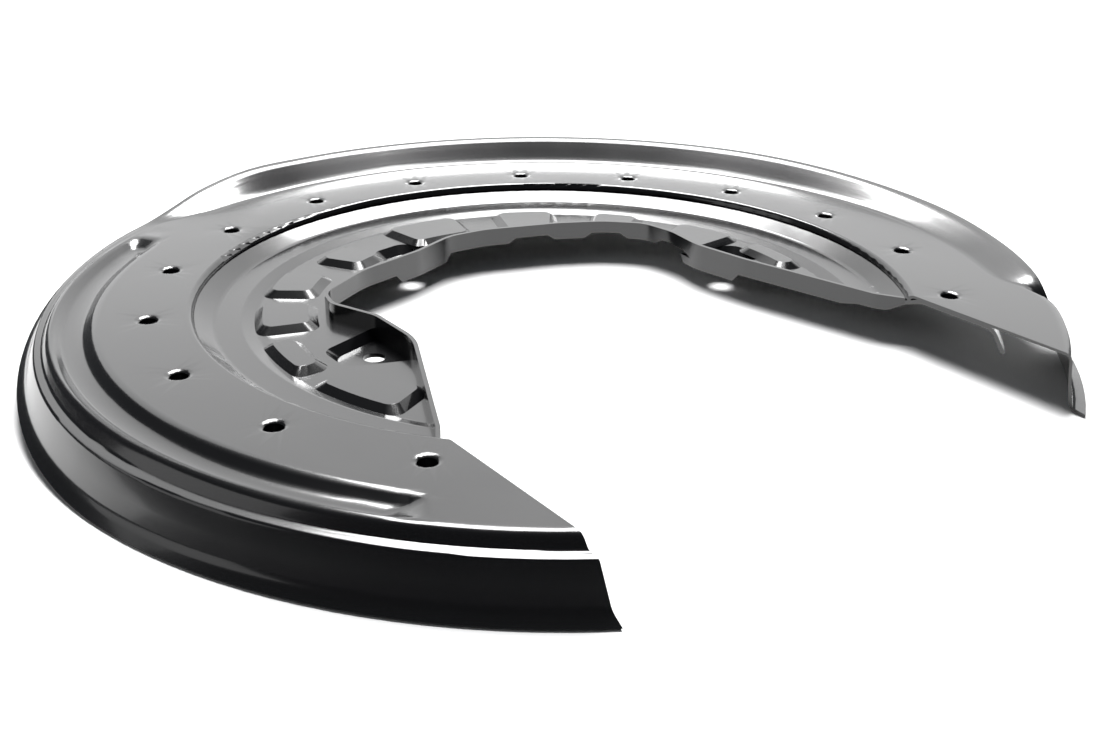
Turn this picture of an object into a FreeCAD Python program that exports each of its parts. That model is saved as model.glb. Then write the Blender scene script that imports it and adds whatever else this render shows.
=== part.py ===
# Brake dust shield, pressed from two steel sheets
# Millimetres, +Z up. The wheel axis is the Z axis, the gap of the C faces -Y,
# and Z = 0 is the seating face under the three screw bosses.
import FreeCAD, Part
import math
import os

from FreeCAD import Vector

os.makedirs("parts", exist_ok=True)

# Sheets
RING_SHEET = 1.0
CARRIER_SHEET = 1.5

# Press joints between the two sheets
JOINT_CIRCLE_R = 150.0
JOINT_COUNT = 14
JOINT_STEP = 20.0
JOINT_FIRST = -40.0
JOINT_BORE_R = 3.1
JOINT_ENTRY_R = 3.7
JOINT_DIMPLE_R = 5.2
JOINT_DIMPLE_DEPTH = 0.35
JOINT_DEPTH = 4.0
JOINT_WALL = 0.8
JOINT_FLOOR = 0.6
JOINT_BUTTON_WALL = 1.1
JOINT_BUTTON_FLOOR = 0.9

# The gap of the C
GAP_HALF = 102.75
OUTSIDE_R = 260.0

# Heights of the top surfaces above the screw seat
BOSS_TOP = CARRIER_SHEET
SEAT_TOP = 12.5
RING_TOP = SEAT_TOP + RING_SHEET
FLOOR_TOP = RING_TOP - 8.55
ANNULUS_TOP = RING_TOP - 7.0
PAD_RISE = 2.3
COLLAR_TOP = RING_TOP - 2.6

# Ring, radii of the lip and of the bends
RING_INNER_R = 134.25
LIP_R = 2.4
LIP_DROP = 2.6
CROWN_END_R = 164.0
RIM_CREASE_R = 173.25
RIM_EDGE_R = 187.5
RIM_HEIGHT = 9.3
FLAT_EDGE_R = 187.9
SKIRT_CREASE_R = 184.3
SKIRT_EDGE_R = 199.2
SKIRT_DROP = 19.65
LUG_CREASE_R = 188.2
LUG_EDGE_R = 195.4
LUG_DROP = 19.2

# Ring, angles at which its rim changes form
RIM_START = -40.0
RIM_FULL = -31.0
RIM_FADE = 112.0
RIM_END = 124.0
SKIRT_START = 123.0
SKIRT_FULL = 195.0
LUG_FULL = -43.0
LUG_END = -35.0

# Ring, stations of its sections
STATION_FIRST = -58.0
STATION_LAST = 238.0
END_BLEND_RIGHT = -30.0
END_BLEND_LEFT = 212.0
STATION_CHANGES = [
    (-58.0, -30.0, 3.5),
    (110.0, 134.0, 2.0),
    (134.0, 196.0, 6.0),
    (205.0, 238.0, 2.2),
]

# Bead in the crown on the left
BEAD_INNER_R = 168.0
BEAD_FLOOR_R1 = 173.2
BEAD_FLOOR_R2 = 178.4
BEAD_OUTER_R = 182.4
BEAD_DEPTH = 2.8
BEAD_START = 128.0
BEAD_STOP = 222.5
BEAD_RUN_OUT = 2.6

# Carrier plate
STEP_INNER_R = 112.5
STEP_OUTER_R = 117.75
SLOPE_FOOT_R = 127.6
SLOPE_TOP_R = 138.2
CARRIER_BEND_R = 162.5
CARRIER_EDGE_R = 167.2
CARRIER_EDGE_DROP = 8.0
CARRIER_CORE_R = 55.0

# Raised pads: start angle, end angle, inner radius, outer radius
PAD_FORMS = [
    (-14.0, 3.0, 100.0, 113.5),
    (7.0, 24.0, 80.0, 113.5),
    (32.0, 45.0, 80.0, 113.5),
    (53.0, 69.0, 70.0, 113.5),
    (77.0, 97.0, 85.5, 113.5),
    (108.5, 121.0, 85.5, 109.0),
    (128.0, 143.0, 91.5, 113.5),
    (147.0, 163.0, 90.0, 113.5),
    (167.0, 184.0, 99.0, 113.5),
    (188.0, 208.0, 90.0, 113.5),
]
PAD_SLOPE = 35.0
PAD_CORNER = 5.0

# Screw bosses: angle and radius of the hole
SCREW_HOLE_R = 4.0
BOSS_PLACES = [(1.5, 90.0), (102.5, 79.5), (180.0, 78.9)]
BOSS_HALF_WIDTH = 15.0
BOSS_BACK = 12.5
BOSS_FRONT = 24.0
BOSS_CORNER = 6.0
BOSS_SLOPE = 45.0

# Hub opening, corner points and the radius that rounds each
HUB_OPENING = [
    (103.5, -85.0, 0.0),
    (97.5, -75.0, 8.0),
    (84.0, -17.0, 40.0),
    (80.3, 8.0, 30.0),
    (83.0, 27.0, 20.0),
    (80.5, 43.0, 12.0),
    (67.5, 55.5, 25.0),
    (50.0, 64.5, 30.0),
    (18.0, 75.0, 25.0),
    (1.0, 76.0, 20.0),
    (-20.0, 67.2, 30.0),
    (-50.0, 59.5, 40.0),
    (-73.5, 46.0, 10.0),
    (-76.2, 35.0, 8.0),
    (-68.6, 15.0, 15.0),
    (-68.4, -12.0, 30.0),
    (-98.0, -76.0, 8.0),
    (-103.5, -85.0, 0.0),
]


def polar(radius, angle, height=0.0):
    turn = math.radians(angle)
    return Vector(radius * math.cos(turn), radius * math.sin(turn), height)


def smooth(value, start, stop):
    part = (value - start) / (stop - start)
    part = min(1.0, max(0.0, part))
    return part * part * (3.0 - 2.0 * part)


def rounded_path(corners):
    """Lines and arcs through corner points, each given with its radius."""
    edges = []
    here = Vector(*corners[0][0])
    for index in range(1, len(corners) - 1):
        corner = Vector(*corners[index][0])
        before = (Vector(*corners[index - 1][0]) - corner).normalize()
        after = (Vector(*corners[index + 1][0]) - corner).normalize()
        half = before.getAngle(after) / 2.0
        reach = corners[index][1] / math.tan(half)
        middle = (before + after).normalize()
        centre = corner + middle * (corners[index][1] / math.sin(half))
        start = corner + before * reach
        top = centre - middle * corners[index][1]
        stop = corner + after * reach
        edges.append(Part.makeLine(here, start))
        edges.append(Part.Arc(start, top, stop).toShape())
        here = stop
    edges.append(Part.makeLine(here, Vector(*corners[-1][0])))
    return edges


def offset_corners(corners, distance):
    """Moves a bent section in the XZ plane sideways, bends staying concentric."""
    moved = []
    last = len(corners) - 1
    for index, (place, radius) in enumerate(corners):
        here = Vector(*place)
        ways = []
        if index > 0:
            ways.append((here - Vector(*corners[index - 1][0])).normalize())
        if index < last:
            ways.append((Vector(*corners[index + 1][0]) - here).normalize())
        sides = [Vector(-way.z, 0, way.x) for way in ways]
        if len(sides) == 1:
            point = here + sides[0] * distance
            moved.append(((point.x, 0, point.z), 0.0))
            continue
        both = sides[0] + sides[1]
        point = here + both * (2.0 * distance / both.Length ** 2)
        turn = ways[0].x * ways[1].z - ways[0].z * ways[1].x
        new_radius = radius - distance if turn > 0 else radius + distance
        moved.append(((point.x, 0, point.z), new_radius))
    return moved


def strip_turned(corners, under):
    """Full turn of the sheet between two bent sections."""
    edges = rounded_path(corners) + rounded_path(under)
    edges.append(Part.makeLine(Vector(*corners[0][0]), Vector(*under[0][0])))
    edges.append(Part.makeLine(Vector(*corners[-1][0]), Vector(*under[-1][0])))
    face = Part.Face(Part.Wire(Part.__sortEdges__(edges)))
    return face.revolve(Vector(0, 0, 0), Vector(0, 0, 1), 360.0)


# Outer ring

# Each form of the ring outside its crown: four bends as radius, height and
# reach, then the free edge. Heights count from the top of the crown.
RIM_FORM = [
    (RIM_CREASE_R, 0.0, 1.4),
    (177.0, 2.9, 1.0),
    (180.7, 5.8, 1.0),
    (184.5, 8.75, 1.3),
    (RIM_EDGE_R, RIM_HEIGHT, 0.0),
]
SKIRT_FORM = [
    (SKIRT_CREASE_R, 0.0, 1.6),
    (186.8, -4.1, 0.9),
    (190.4, -4.2, 0.9),
    (195.4, -16.9, 1.5),
    (SKIRT_EDGE_R, -SKIRT_DROP, 0.0),
]
LUG_FORM = [
    (LUG_CREASE_R, 0.0, 2.2),
    (188.8, -6.3, 1.0),
    (189.6, -12.6, 1.0),
    (190.7, -18.4, 1.5),
    (LUG_EDGE_R, -LUG_DROP, 0.0),
]
BEAD_ROWS = [0.0, 0.12, 0.22, 0.31, 0.40, 0.50, 0.63, 0.76, 0.84, 0.92]


def bend_rows(form):
    """Points along a bent form: before, on and after each bend, then the edge."""
    points = [Vector(CROWN_END_R, 0, 0)] + [Vector(r, 0, z) for r, z, reach in form]
    rows = []
    for index in range(1, len(points) - 1):
        reach = form[index - 1][2]
        corner = points[index]
        back = (points[index - 1] - corner).normalize()
        ahead = (points[index + 1] - corner).normalize()
        half = back.getAngle(ahead) / 2.0
        top = Vector(corner)
        if half < math.pi / 2.0 - 1e-4:
            inward = (back + ahead).normalize()
            top = corner + inward * (reach * math.cos(half) / (1.0 + math.sin(half)))
        rows += [corner + back * reach, top, corner + ahead * reach]
        if index == 3:
            rows.append((corner + ahead * reach) * 0.5 + points[index + 1] * 0.5)
    rows.append(points[-1])
    first = rows[0]
    crown = [Vector(CROWN_END_R + (first.x - CROWN_END_R) * part, 0, 0) for part in BEAD_ROWS]
    return [(row.x, row.z) for row in crown + rows]


def flat_rows(count):
    """The same number of rows where the sheet runs flat to its edge."""
    first = bend_rows(SKIRT_FORM)[:len(BEAD_ROWS)]
    start = first[-1][0] + 1.4
    left = count - len(first)
    step = (FLAT_EDGE_R - start) / (left - 1)
    return first + [(start + step * index, 0.0) for index in range(left)]


RIM_ROWS = bend_rows(RIM_FORM)
SKIRT_ROWS = bend_rows(SKIRT_FORM)
LUG_ROWS = bend_rows(LUG_FORM)
FLAT_ROWS = flat_rows(len(RIM_ROWS))


def bead_drop(radius, angle):
    """Depth of the bead that runs in the crown on the left."""
    across = smooth(radius, BEAD_INNER_R, BEAD_FLOOR_R1)
    across -= smooth(radius, BEAD_FLOOR_R2, BEAD_OUTER_R)
    along = smooth(angle, BEAD_START, BEAD_START + BEAD_RUN_OUT)
    along -= smooth(angle, BEAD_STOP - BEAD_RUN_OUT, BEAD_STOP)
    return BEAD_DEPTH * across * along


def rim_share(angle):
    """Height of the upturned rim, as a part of its full height."""
    rise = 0.30 + 0.42 * smooth(angle, RIM_START, -8.0) + 0.28 * smooth(angle, -16.0, 26.0)
    return rise * (1.0 - 0.55 * smooth(angle, 102.0, 119.0))


def section_row(index, angle):
    """Radius and height of one row of the outer zone at one angle."""
    rim = smooth(angle, RIM_START, RIM_FULL) * (1.0 - smooth(angle, RIM_FADE, RIM_END))
    skirt = smooth(angle, SKIRT_START, SKIRT_FULL)
    lug = 1.0 - smooth(angle, LUG_FULL, LUG_END)
    flat = 1.0 - rim - skirt - lug
    r = flat * FLAT_ROWS[index][0] + rim * RIM_ROWS[index][0]
    r += skirt * SKIRT_ROWS[index][0] + lug * LUG_ROWS[index][0]
    z = rim * rim_share(angle) * RIM_ROWS[index][1]
    z += skirt * SKIRT_ROWS[index][1] + lug * LUG_ROWS[index][1]
    return r, z - bead_drop(r, angle)


def ring_angle(radius, station):
    """Angle of a station, bent near the ends to finish on the straight cut."""
    cut = math.degrees(math.acos(GAP_HALF / radius))
    if station < END_BLEND_RIGHT:
        share = (station - STATION_FIRST) / (END_BLEND_RIGHT - STATION_FIRST)
        return -cut + share * (END_BLEND_RIGHT + cut)
    if station > END_BLEND_LEFT:
        share = (STATION_LAST - station) / (STATION_LAST - END_BLEND_LEFT)
        return 180.0 + cut - share * (180.0 + cut - END_BLEND_LEFT)
    return station


def section_points(station):
    """Upper and lower points of the outer zone at one station."""
    profile = []
    for index in range(len(FLAT_ROWS)):
        radius, height = section_row(index, station)
        for refine in range(3):
            radius, height = section_row(index, ring_angle(radius, station))
        profile.append(Vector(radius, 0, RING_TOP + height))
    curve = Part.BSplineCurve()
    curve.interpolate(profile)
    upper = []
    lower = []
    for row, point in enumerate(profile):
        along = Vector(*curve.tangent(curve.parameter(point))[0])
        down = Vector(along.z, 0, -along.x).normalize()
        if row < 2:
            down = Vector(0, 0, -1)
        under = point + down * RING_SHEET
        upper.append(polar(point.x, ring_angle(point.x, station), point.z))
        lower.append(polar(under.x, ring_angle(under.x, station), under.z))
    return upper, lower


def ring_stations():
    """Stations of the sections, closer where the form changes."""
    angles = []
    angle = STATION_FIRST
    while angle < STATION_LAST - 2.0:
        angles.append(angle)
        step = 7.0
        for start, stop, fine in STATION_CHANGES:
            if start - step <= angle < start:
                step = max(fine, start - angle)
            elif start <= angle < stop:
                step = fine
        angle += step
    angles.append(STATION_LAST)
    return angles


def row_travel(grid):
    """Distance along the middle row, the common parameter of all rows."""
    middle = [points[len(points) // 2] for points in grid]
    travel = [0.0]
    for one, other in zip(middle, middle[1:]):
        travel.append(travel[-1] + (other - one).Length)
    return travel


def row_curves(grid, travel):
    """One smooth curve along the ring for each row, all with the same knots."""
    curves = []
    for row in range(len(grid[0])):
        curve = Part.BSplineCurve()
        curve.interpolate(Points=[points[row] for points in grid], Parameters=travel)
        curves.append(curve)
    return curves


def ruled_face(one, other):
    """Straight-ruled strip between two curves that share their knots."""
    surface = Part.BSplineSurface()
    surface.buildFromPolesMultsKnots(
        [one.getPoles(), other.getPoles()], [2, 2], one.getMultiplicities(),
        [0.0, 1.0], one.getKnots(), False, False, 1, one.Degree)
    return surface.toShape()


def zone_faces(upper, lower):
    """Faces of the outer zone, open on the side where it joins the crown."""
    travel = row_travel(upper)
    over = row_curves(upper, travel)
    under = row_curves(lower, travel)
    faces = []
    for grid, curves in ((upper, over), (lower, under)):
        border = Part.Arc(grid[0][0], Vector(0, CROWN_END_R, grid[0][0].z), grid[-1][0])
        faces.append(Part.makeRuledSurface(border.toShape(), curves[1].toShape()))
        for one, other in zip(curves[1:], curves[2:]):
            faces.append(ruled_face(one, other))
    faces.append(ruled_face(over[-1], under[-1]))
    for end in (0, -1):
        outline = upper[end] + lower[end][::-1]
        faces.append(Part.Face(Part.makePolygon(outline + outline[:1])))
    return faces


def gap_block(top_y):
    return Part.makeBox(2.0 * GAP_HALF, OUTSIDE_R + top_y, 80.0, Vector(-GAP_HALF, -OUTSIDE_R, -40.0))


def joint_places():
    for index in range(JOINT_COUNT):
        yield polar(JOINT_CIRCLE_R, JOINT_FIRST + JOINT_STEP * index)


def cup(outline, place):
    """A solid turned about a vertical line at a press joint."""
    points = [Vector(r, 0, z) for r, z in outline]
    face = Part.Face(Part.makePolygon(points + [points[0]]))
    solid = face.revolve(Vector(0, 0, 0), Vector(0, 0, 1), 360.0)
    solid.translate(place)
    return solid


def ring_cup_solid(place):
    low = RING_TOP - JOINT_DEPTH - JOINT_FLOOR
    wide = JOINT_BORE_R + JOINT_WALL
    high = RING_TOP - 0.6 * RING_SHEET
    return cup([(0, low), (wide, low), (wide, high), (0, high)], place)


def ring_cup_hollow(place):
    low = RING_TOP - JOINT_DEPTH
    over = RING_TOP + 1.0
    return cup([(0, low), (JOINT_BORE_R, low), (JOINT_BORE_R, RING_TOP - 0.9),
                (JOINT_ENTRY_R, RING_TOP - JOINT_DIMPLE_DEPTH), (JOINT_DIMPLE_R, RING_TOP),
                (JOINT_DIMPLE_R, over), (0, over)], place)


def crown():
    """Inner zone of the ring: the rolled lip and the flat crown with its cups."""
    over = [
        ((RING_INNER_R, 0, RING_TOP - LIP_DROP), 0.0),
        ((RING_INNER_R, 0, RING_TOP), LIP_R),
        ((CROWN_END_R, 0, RING_TOP), 0.0),
    ]
    under = [
        ((RING_INNER_R + RING_SHEET, 0, RING_TOP - LIP_DROP), 0.0),
        ((RING_INNER_R + RING_SHEET, 0, SEAT_TOP), LIP_R - RING_SHEET),
        ((CROWN_END_R, 0, SEAT_TOP), 0.0),
    ]
    solid = strip_turned(over, under)
    solid.rotate(Vector(0, 0, 0), Vector(0, 0, 1), -90.0)
    solid = solid.cut(gap_block(-60.0))
    solid = solid.fuse([ring_cup_solid(place) for place in joint_places()])
    return solid.cut(Part.Compound([ring_cup_hollow(place) for place in joint_places()]))


def on_crown_end(face):
    surface = face.Surface
    return isinstance(surface, Part.Cylinder) and abs(surface.Radius - CROWN_END_R) < 0.01


def outer_ring():
    sections = [section_points(station) for station in ring_stations()]
    faces = zone_faces([pair[0] for pair in sections], [pair[1] for pair in sections])
    faces += [face for face in crown().Faces if not on_crown_end(face)]
    shell = Part.Compound(faces)
    shell.sewShape()
    ring = Part.makeSolid(shell.Shells[0])
    if ring.Volume < 0:
        ring.reverse()
    return ring


# Carrier plate

def plate_corners():
    """Top surface of the plate as corner points with bend radii, in XZ."""
    return [
        ((CARRIER_CORE_R, 0, FLOOR_TOP), 0.0),
        ((STEP_INNER_R, 0, FLOOR_TOP), 4.0),
        ((STEP_OUTER_R, 0, ANNULUS_TOP), 4.0),
        ((SLOPE_FOOT_R, 0, ANNULUS_TOP), 4.0),
        ((SLOPE_TOP_R, 0, SEAT_TOP), 3.0),
        ((CARRIER_BEND_R, 0, SEAT_TOP), 5.0),
        ((CARRIER_EDGE_R, 0, SEAT_TOP - CARRIER_EDGE_DROP), 0.0),
    ]


def turned(corners, depth):
    """Full turn of the region between a bent section and a level below it."""
    edges = rounded_path(corners)
    start = Vector(*corners[0][0])
    stop = Vector(*corners[-1][0])
    low_stop = Vector(stop.x, 0, depth)
    low_start = Vector(start.x, 0, depth)
    edges.append(Part.makeLine(stop, low_stop))
    edges.append(Part.makeLine(low_stop, low_start))
    edges.append(Part.makeLine(low_start, start))
    face = Part.Face(Part.Wire(edges))
    return face.revolve(Vector(0, 0, 0), Vector(0, 0, 1), 360.0)


def pad_wire(form, shrink, height):
    """Rounded ring sector at one height, drawn in by the shrink."""
    start, stop, inner, outer = form
    inner += shrink
    outer -= shrink
    corner = PAD_CORNER - 0.5 * shrink
    edges = []
    marks = []
    for radius, sign in ((inner, 1.0), (outer, -1.0)):
        side = math.degrees(shrink / radius)
        bend = math.degrees(corner / radius)
        marks.append((radius, start + side, stop - side, bend, sign))
    (r1, a1, b1, c1, s1), (r2, a2, b2, c2, s2) = marks
    points = [
        polar(r1, a1 + c1, height), polar(r1, b1 - c1, height),
        polar(r1 + corner, b1, height), polar(r2 - corner, b2, height),
        polar(r2, b2 - c2, height), polar(r2, a2 + c2, height),
        polar(r2 - corner, a2, height), polar(r1 + corner, a1, height),
    ]
    middle = 0.5 * (start + stop)
    edges.append(Part.Arc(points[0], polar(r1, middle, height), points[1]).toShape())
    edges.append(corner_arc(points[1], polar(r1, b1, height), points[2]))
    edges.append(Part.makeLine(points[2], points[3]))
    edges.append(corner_arc(points[3], polar(r2, b2, height), points[4]))
    edges.append(Part.Arc(points[4], polar(r2, middle, height), points[5]).toShape())
    edges.append(corner_arc(points[5], polar(r2, a2, height), points[6]))
    edges.append(Part.makeLine(points[6], points[7]))
    edges.append(corner_arc(points[7], polar(r1, a1, height), points[0]))
    return Part.Wire(edges)


def corner_arc(start, corner, stop):
    chord = (start + stop) * 0.5
    middle = chord + (corner - chord) * 0.414
    return Part.Arc(start, middle, stop).toShape()


def between(low_wire, high_wire):
    return Part.makeLoft([low_wire, high_wire], True, True)


def pad_solid(form, base, rise, inset):
    run = rise / math.tan(math.radians(PAD_SLOPE))
    sunk = 0.4
    low = pad_wire(form, inset - sunk / math.tan(math.radians(PAD_SLOPE)), base - sunk)
    high = pad_wire(form, inset + run, base + rise)
    return between(low, high)


def boss_wire(place, grow, height):
    """Rounded triangle round a screw hole, its wide side to the hub."""
    angle, radius = place
    back = radius + BOSS_BACK + grow
    front = radius - BOSS_FRONT - grow
    wide = BOSS_HALF_WIDTH + grow
    corners = [
        (back, 0.45 * wide), (back, -0.45 * wide),
        (front, -1.3 * wide), (front, 1.3 * wide),
    ]
    turn = math.radians(angle)
    points = []
    for along, side in corners:
        x = along * math.cos(turn) - side * math.sin(turn)
        y = along * math.sin(turn) + side * math.cos(turn)
        points.append(Vector(x, y, height))
    edges = []
    count = len(points)
    ends = []
    for index in range(count):
        corner = points[index]
        back_way = (points[index - 1] - corner).normalize()
        next_way = (points[(index + 1) % count] - corner).normalize()
        half = back_way.getAngle(next_way) / 2.0
        reach = BOSS_CORNER / math.tan(half)
        middle = (back_way + next_way).normalize()
        top = corner + middle * (BOSS_CORNER / math.sin(half) - BOSS_CORNER)
        ends.append((corner + back_way * reach, top, corner + next_way * reach))
    for index in range(count):
        start, top, stop = ends[index]
        edges.append(Part.Arc(start, top, stop).toShape())
        edges.append(Part.makeLine(stop, ends[(index + 1) % count][0]))
    return Part.Wire(edges)


def boss_solid(place, low, high, inset):
    run = (high - low) / math.tan(math.radians(BOSS_SLOPE))
    return between(boss_wire(place, inset, low), boss_wire(place, inset + run, high))


def opening_edges(height):
    corners = [((x, y, height), radius) for x, y, radius in HUB_OPENING]
    return rounded_path(corners)


def opening_prism(bottom, top):
    edges = opening_edges(bottom)
    first = Vector(HUB_OPENING[0][0], HUB_OPENING[0][1], bottom)
    last = Vector(HUB_OPENING[-1][0], HUB_OPENING[-1][1], bottom)
    low_first = Vector(first.x, -OUTSIDE_R, bottom)
    low_last = Vector(last.x, -OUTSIDE_R, bottom)
    edges.append(Part.makeLine(last, low_last))
    edges.append(Part.makeLine(low_last, low_first))
    edges.append(Part.makeLine(low_first, first))
    face = Part.Face(Part.Wire(edges))
    return face.extrude(Vector(0, 0, top - bottom))


def collar_prism(bottom, top):
    """Upstanding wall that follows the edge of the hub opening."""
    wire = Part.Wire(opening_edges(bottom))
    outer = wire.makeOffset2D(CARRIER_SHEET, 0, False, True)
    if outer.BoundBox.YMax < wire.BoundBox.YMax:
        outer = wire.makeOffset2D(-CARRIER_SHEET, 0, False, True)
    inner_ends = [wire.OrderedVertexes[0].Point, wire.OrderedVertexes[-1].Point]
    outer_ends = [outer.OrderedVertexes[0].Point, outer.OrderedVertexes[-1].Point]
    if (inner_ends[0] - outer_ends[0]).Length > 10.0:
        outer_ends.reverse()
    edges = wire.Edges + outer.Edges
    edges.append(Part.makeLine(inner_ends[0], outer_ends[0]))
    edges.append(Part.makeLine(inner_ends[1], outer_ends[1]))
    face = Part.Face(Part.Wire(Part.__sortEdges__(edges)))
    return face.extrude(Vector(0, 0, top - bottom))


def carrier_cup_solid(place):
    low = RING_TOP - JOINT_DEPTH - JOINT_FLOOR - JOINT_BUTTON_FLOOR
    wide = JOINT_BORE_R + JOINT_WALL + JOINT_BUTTON_WALL
    seat = SEAT_TOP - CARRIER_SHEET
    return cup([(0, low), (wide - 0.3, low), (wide, low + 0.5), (wide, seat), (0, seat)], place)


def carrier_cup_hollow(place):
    low = RING_TOP - JOINT_DEPTH - JOINT_FLOOR
    wide = JOINT_BORE_R + JOINT_WALL
    over = SEAT_TOP + 1.0
    return cup([(0, low), (wide, low), (wide, over), (0, over)], place)


def screw_hole(place):
    angle, radius = place
    return Part.makeCylinder(SCREW_HOLE_R, 20.0, polar(radius, angle, -10.0))


def carrier_plate():
    corners = plate_corners()
    under = offset_corners(corners, -CARRIER_SHEET)
    inset = CARRIER_SHEET * math.tan(math.radians(PAD_SLOPE / 2.0))
    boss_grow = CARRIER_SHEET * math.tan(math.radians(BOSS_SLOPE / 2.0))
    floor_under = FLOOR_TOP - CARRIER_SHEET

    pads = [pad_solid(form, FLOOR_TOP, PAD_RISE, 0.0) for form in PAD_FORMS]
    pad_hollows = [pad_solid(form, floor_under, PAD_RISE, inset) for form in PAD_FORMS]
    boss_outers = [boss_solid(place, 0.0, floor_under, boss_grow) for place in BOSS_PLACES]
    boss_inners = [boss_solid(place, BOSS_TOP, FLOOR_TOP + 0.3, 0.0) for place in BOSS_PLACES]
    boss_blocks = [boss_solid(place, 0.0, FLOOR_TOP, boss_grow) for place in BOSS_PLACES]

    ground = turned(under, -5.0).fuse(pad_hollows).cut(Part.Compound(boss_outers))
    plate = strip_turned(corners, under).fuse(pads + boss_blocks)
    plate = plate.cut(Part.Compound(pad_hollows + boss_inners))
    plate = plate.cut(opening_prism(-10.0, 40.0))
    plate = plate.fuse(collar_prism(-1.0, COLLAR_TOP).cut(ground))
    plate = plate.cut(gap_block(-85.0))
    plate = plate.fuse([carrier_cup_solid(place) for place in joint_places()])
    plate = plate.cut(Part.Compound([carrier_cup_hollow(place) for place in joint_places()]))
    plate = plate.cut(Part.Compound([screw_hole(place) for place in BOSS_PLACES]))
    return plate


for name, make in (("outer_ring", outer_ring), ("carrier_plate", carrier_plate)):
    shape = make()
    print(name, shape.isValid(), len(shape.Solids), round(shape.Volume), len(shape.Faces))
    shape.exportStep("parts/" + name + ".step")
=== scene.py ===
import math

import bmesh
import bpy
from mathutils import Matrix, Vector


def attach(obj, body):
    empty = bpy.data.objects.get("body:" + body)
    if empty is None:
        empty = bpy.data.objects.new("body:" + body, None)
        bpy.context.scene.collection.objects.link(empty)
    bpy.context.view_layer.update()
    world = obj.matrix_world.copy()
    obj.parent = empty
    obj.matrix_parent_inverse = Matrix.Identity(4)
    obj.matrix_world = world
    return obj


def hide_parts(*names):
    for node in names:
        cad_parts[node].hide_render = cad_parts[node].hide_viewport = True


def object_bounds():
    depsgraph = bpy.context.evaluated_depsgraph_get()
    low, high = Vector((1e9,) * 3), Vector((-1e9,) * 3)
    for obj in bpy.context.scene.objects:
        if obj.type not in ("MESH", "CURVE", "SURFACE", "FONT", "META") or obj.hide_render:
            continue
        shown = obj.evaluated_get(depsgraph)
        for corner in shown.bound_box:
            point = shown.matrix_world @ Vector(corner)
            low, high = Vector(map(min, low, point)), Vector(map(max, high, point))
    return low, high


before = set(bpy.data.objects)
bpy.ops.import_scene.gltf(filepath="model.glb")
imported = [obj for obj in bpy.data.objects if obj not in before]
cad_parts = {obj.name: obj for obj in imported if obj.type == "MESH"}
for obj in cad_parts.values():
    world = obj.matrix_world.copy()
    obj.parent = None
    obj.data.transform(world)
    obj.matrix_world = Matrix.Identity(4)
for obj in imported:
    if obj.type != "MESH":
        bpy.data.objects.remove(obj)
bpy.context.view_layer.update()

MM = 0.001

# Finish of the two sheets: black dip coat on pressed steel
COAT_BLACK = "#0B0B0D"
COAT_METALLIC = 0.0
COAT_IOR = 1.52
COAT_ROUGHNESS = 0.21
ROUGHNESS_BELOW = 0.03
ROUGHNESS_ABOVE = 0.05
CLEAR_WEIGHT = 0.55
CLEAR_ROUGHNESS = 0.09
CLOUD_MM = 38.0
CLOUD_DETAIL = 4.0
ORANGE_PEEL_MM = 2.6
ORANGE_PEEL_DETAIL = 1.0
ORANGE_PEEL_DEPTH_MM = 0.012
ORANGE_PEEL_STRENGTH = 0.35
RING_SEED = 0.0
PLATE_SEED = 0.3

# Welding and shading of the CAD copies
WELD_MM = 0.004
SHARP_DEGREES = 30.0
NORMAL_WEIGHT = 80

# Studio
FLOOR_WHITE = "#F4F4F4"
FLOOR_ROUGHNESS = 0.9
FLOOR_SIZE = 9.0
WORLD_GREY = "#46484A"
WORLD_STRENGTH = 1.0
LIGHT_WHITE = "#FFFFFF"
LIGHT_TARGET = (0, 0, 0)
# Each soft box: name, place in metres, width, height and power in watts
SOFTBOXES = (
    ("back_softbox", (0.85, 1.15, 0.75), 2.6, 1.3, 15.0),
    ("high_softbox", (0.85, 1.1, 2.6), 1.7, 1.7, 190.0),
    ("left_softbox", (-1.3, 0.5, 0.6), 1.0, 0.8, 2.0),
)

# Picture and lens of the photograph
PICTURE_WIDTH_PX = 1110
PICTURE_HEIGHT_PX = 740
FOCAL_PX = 1321.95
SENSOR_MM = 36.0
NEAREST_SEEN = 0.01

# Camera, worked out from the circle of joint pits
JOINT_CIRCLE_R = 150.0 * MM
RING_TOP = 13.5 * MM
CAMERA_PLACE = Vector((-1.8862, -2.5621, 1.1812)) * JOINT_CIRCLE_R + Vector((0, 0, RING_TOP))
CAMERA_TARGET = Vector((-0.3227, -0.4460, 0.0)) * JOINT_CIRCLE_R + Vector((0, 0, RING_TOP))
CAMERA_ROLL = math.radians(0.606)


def linear(code):
    """An sRGB hex colour as linear red, green, blue and alpha."""
    values = []
    for start in (1, 3, 5):
        share = int(code[start:start + 2], 16) / 255.0
        values.append(share / 12.92 if share <= 0.04045 else ((share + 0.055) / 1.055) ** 2.4)
    return (*values, 1.0)


def add(tree, kind, x, y):
    """A new node of this kind at a place in the node editor."""
    node = tree.nodes.new(kind)
    node.location = (x, y)
    return node


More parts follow.
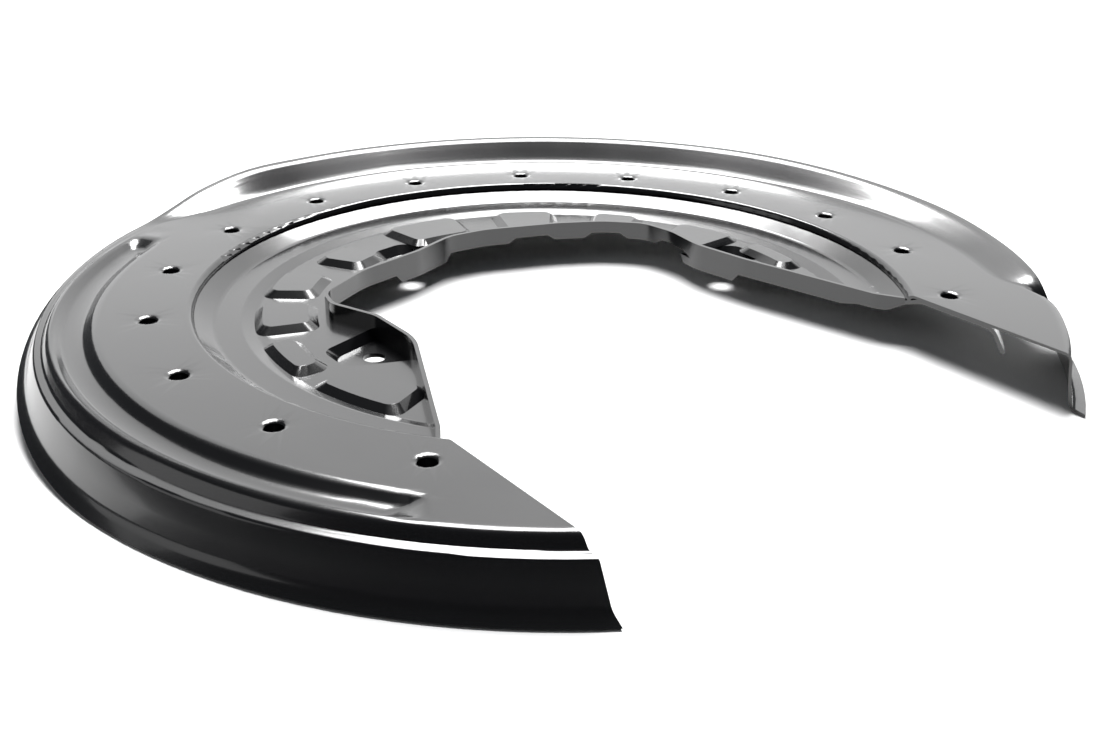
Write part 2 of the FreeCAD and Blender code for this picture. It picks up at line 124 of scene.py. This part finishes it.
def coated_steel(name, seed):
    """Gloss black dip coat: a dark film, a clear skin and faint orange peel."""
    material = bpy.data.materials.new(name)
    material.use_nodes = True
    tree = material.node_tree
    tree.nodes.clear()
    link = tree.links.new
    out = add(tree, "ShaderNodeOutputMaterial", 700, 0)
    film = add(tree, "ShaderNodeBsdfPrincipled", 400, 0)
    film.inputs["Base Color"].default_value = linear(COAT_BLACK)
    film.inputs["Metallic"].default_value = COAT_METALLIC
    film.inputs["IOR"].default_value = COAT_IOR
    film.inputs["Coat Weight"].default_value = CLEAR_WEIGHT
    film.inputs["Coat Roughness"].default_value = CLEAR_ROUGHNESS
    place = add(tree, "ShaderNodeTexCoord", -900, 0)
    shift = add(tree, "ShaderNodeMapping", -700, 0)
    shift.inputs["Location"].default_value = (seed, 2.0 * seed, 0.5 * seed)
    link(place.outputs["Object"], shift.inputs["Vector"])

    cloud = add(tree, "ShaderNodeTexNoise", -450, 150)
    cloud.inputs["Scale"].default_value = 1.0 / (CLOUD_MM * MM)
    cloud.inputs["Detail"].default_value = CLOUD_DETAIL
    link(shift.outputs["Vector"], cloud.inputs["Vector"])
    spread = add(tree, "ShaderNodeMapRange", -200, 150)
    spread.inputs["To Min"].default_value = COAT_ROUGHNESS - ROUGHNESS_BELOW
    spread.inputs["To Max"].default_value = COAT_ROUGHNESS + ROUGHNESS_ABOVE
    link(cloud.outputs["Fac"], spread.inputs["Value"])
    link(spread.outputs["Result"], film.inputs["Roughness"])

    peel = add(tree, "ShaderNodeTexNoise", -450, -150)
    peel.inputs["Scale"].default_value = 1.0 / (ORANGE_PEEL_MM * MM)
    peel.inputs["Detail"].default_value = ORANGE_PEEL_DETAIL
    link(shift.outputs["Vector"], peel.inputs["Vector"])
    relief = add(tree, "ShaderNodeBump", 150, -250)
    relief.inputs["Strength"].default_value = ORANGE_PEEL_STRENGTH
    relief.inputs["Distance"].default_value = ORANGE_PEEL_DEPTH_MM * MM
    link(peel.outputs["Fac"], relief.inputs["Height"])
    link(relief.outputs["Normal"], film.inputs["Normal"])
    link(film.outputs["BSDF"], out.inputs["Surface"])
    return material


def finished_sheet(node, name, material):
    """A welded, smooth-shaded copy of a CAD sheet, with the finish on it."""
    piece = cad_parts[node].copy()
    piece.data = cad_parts[node].data.copy()
    piece.name = name
    bpy.context.scene.collection.objects.link(piece)
    mesh = bmesh.new()
    mesh.from_mesh(piece.data)
    bmesh.ops.remove_doubles(mesh, verts=mesh.verts, dist=WELD_MM * MM)
    for face in mesh.faces:
        face.smooth = True
    for edge in mesh.edges:
        angle = edge.calc_face_angle(math.pi) if len(edge.link_faces) == 2 else math.pi
        edge.smooth = angle < math.radians(SHARP_DEGREES)
    mesh.to_mesh(piece.data)
    mesh.free()
    soften = piece.modifiers.new("flats_stay_flat", "WEIGHTED_NORMAL")
    soften.keep_sharp = True
    soften.weight = NORMAL_WEIGHT
    piece.data.materials.clear()
    piece.data.materials.append(material)
    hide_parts(node)
    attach(piece, "root")


def floor_sheet():
    """Plain pale studio floor under the part."""
    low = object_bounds()[0][2]
    bpy.ops.mesh.primitive_plane_add(size=FLOOR_SIZE, location=(0, 0, low))
    floor = bpy.context.object
    floor.name = "studio_floor"
    material = bpy.data.materials.new("matt_white_paper")
    material.use_nodes = True
    paper = material.node_tree.nodes["Principled BSDF"]
    paper.inputs["Base Color"].default_value = linear(FLOOR_WHITE)
    paper.inputs["Roughness"].default_value = FLOOR_ROUGHNESS
    floor.data.materials.append(material)


def softbox(name, place, width, height, power):
    """A white rectangular light that faces the part."""
    light = bpy.data.lights.new(name, "AREA")
    light.shape = "RECTANGLE"
    light.size = width
    light.size_y = height
    light.energy = power
    light.color = linear(LIGHT_WHITE)[:3]
    lamp = bpy.data.objects.new(name, light)
    bpy.context.scene.collection.objects.link(lamp)
    lamp.location = place
    toward = Vector(LIGHT_TARGET) - Vector(place)
    lamp.rotation_euler = toward.to_track_quat("-Z", "Y").to_euler()


def studio_light():
    """A grey surround and the soft boxes."""
    world = bpy.data.worlds.new("studio")
    bpy.context.scene.world = world
    world.use_nodes = True
    air = world.node_tree.nodes["Background"]
    air.inputs["Color"].default_value = linear(WORLD_GREY)
    air.inputs["Strength"].default_value = WORLD_STRENGTH
    for name, place, width, height, power in SOFTBOXES:
        softbox(name, place, width, height, power)


def camera():
    """The photograph's viewpoint, with its small roll."""
    lens = bpy.data.cameras.new("photo_view")
    lens.sensor_fit = "HORIZONTAL"
    lens.sensor_width = SENSOR_MM
    lens.lens = FOCAL_PX / PICTURE_WIDTH_PX * SENSOR_MM
    lens.clip_start = NEAREST_SEEN
    view = bpy.data.objects.new("photo_view", lens)
    bpy.context.scene.collection.objects.link(view)
    ahead = (CAMERA_TARGET - CAMERA_PLACE).normalized()
    right = ahead.cross(Vector((0, 0, 1))).normalized()
    up = right.cross(ahead)
    turned_right = right * math.cos(CAMERA_ROLL) + up * math.sin(CAMERA_ROLL)
    turned_up = up * math.cos(CAMERA_ROLL) - right * math.sin(CAMERA_ROLL)
    turn = Matrix((turned_right, turned_up, -ahead)).transposed()
    view.matrix_world = Matrix.Translation(CAMERA_PLACE) @ turn.to_4x4()
    bpy.context.scene.camera = view


ring_coat = coated_steel("black_dip_coat_ring", RING_SEED)
finished_sheet("outer_ring", "ring_coated", ring_coat)
plate_coat = coated_steel("black_dip_coat_plate", PLATE_SEED)
finished_sheet("carrier_plate", "plate_coated", plate_coat)
floor_sheet()
studio_light()
camera()

scene = bpy.context.scene
scene.render.resolution_x = PICTURE_WIDTH_PX
scene.render.resolution_y = PICTURE_HEIGHT_PX
scene.view_settings.view_transform = "Standard"
scene.view_settings.look = "None"
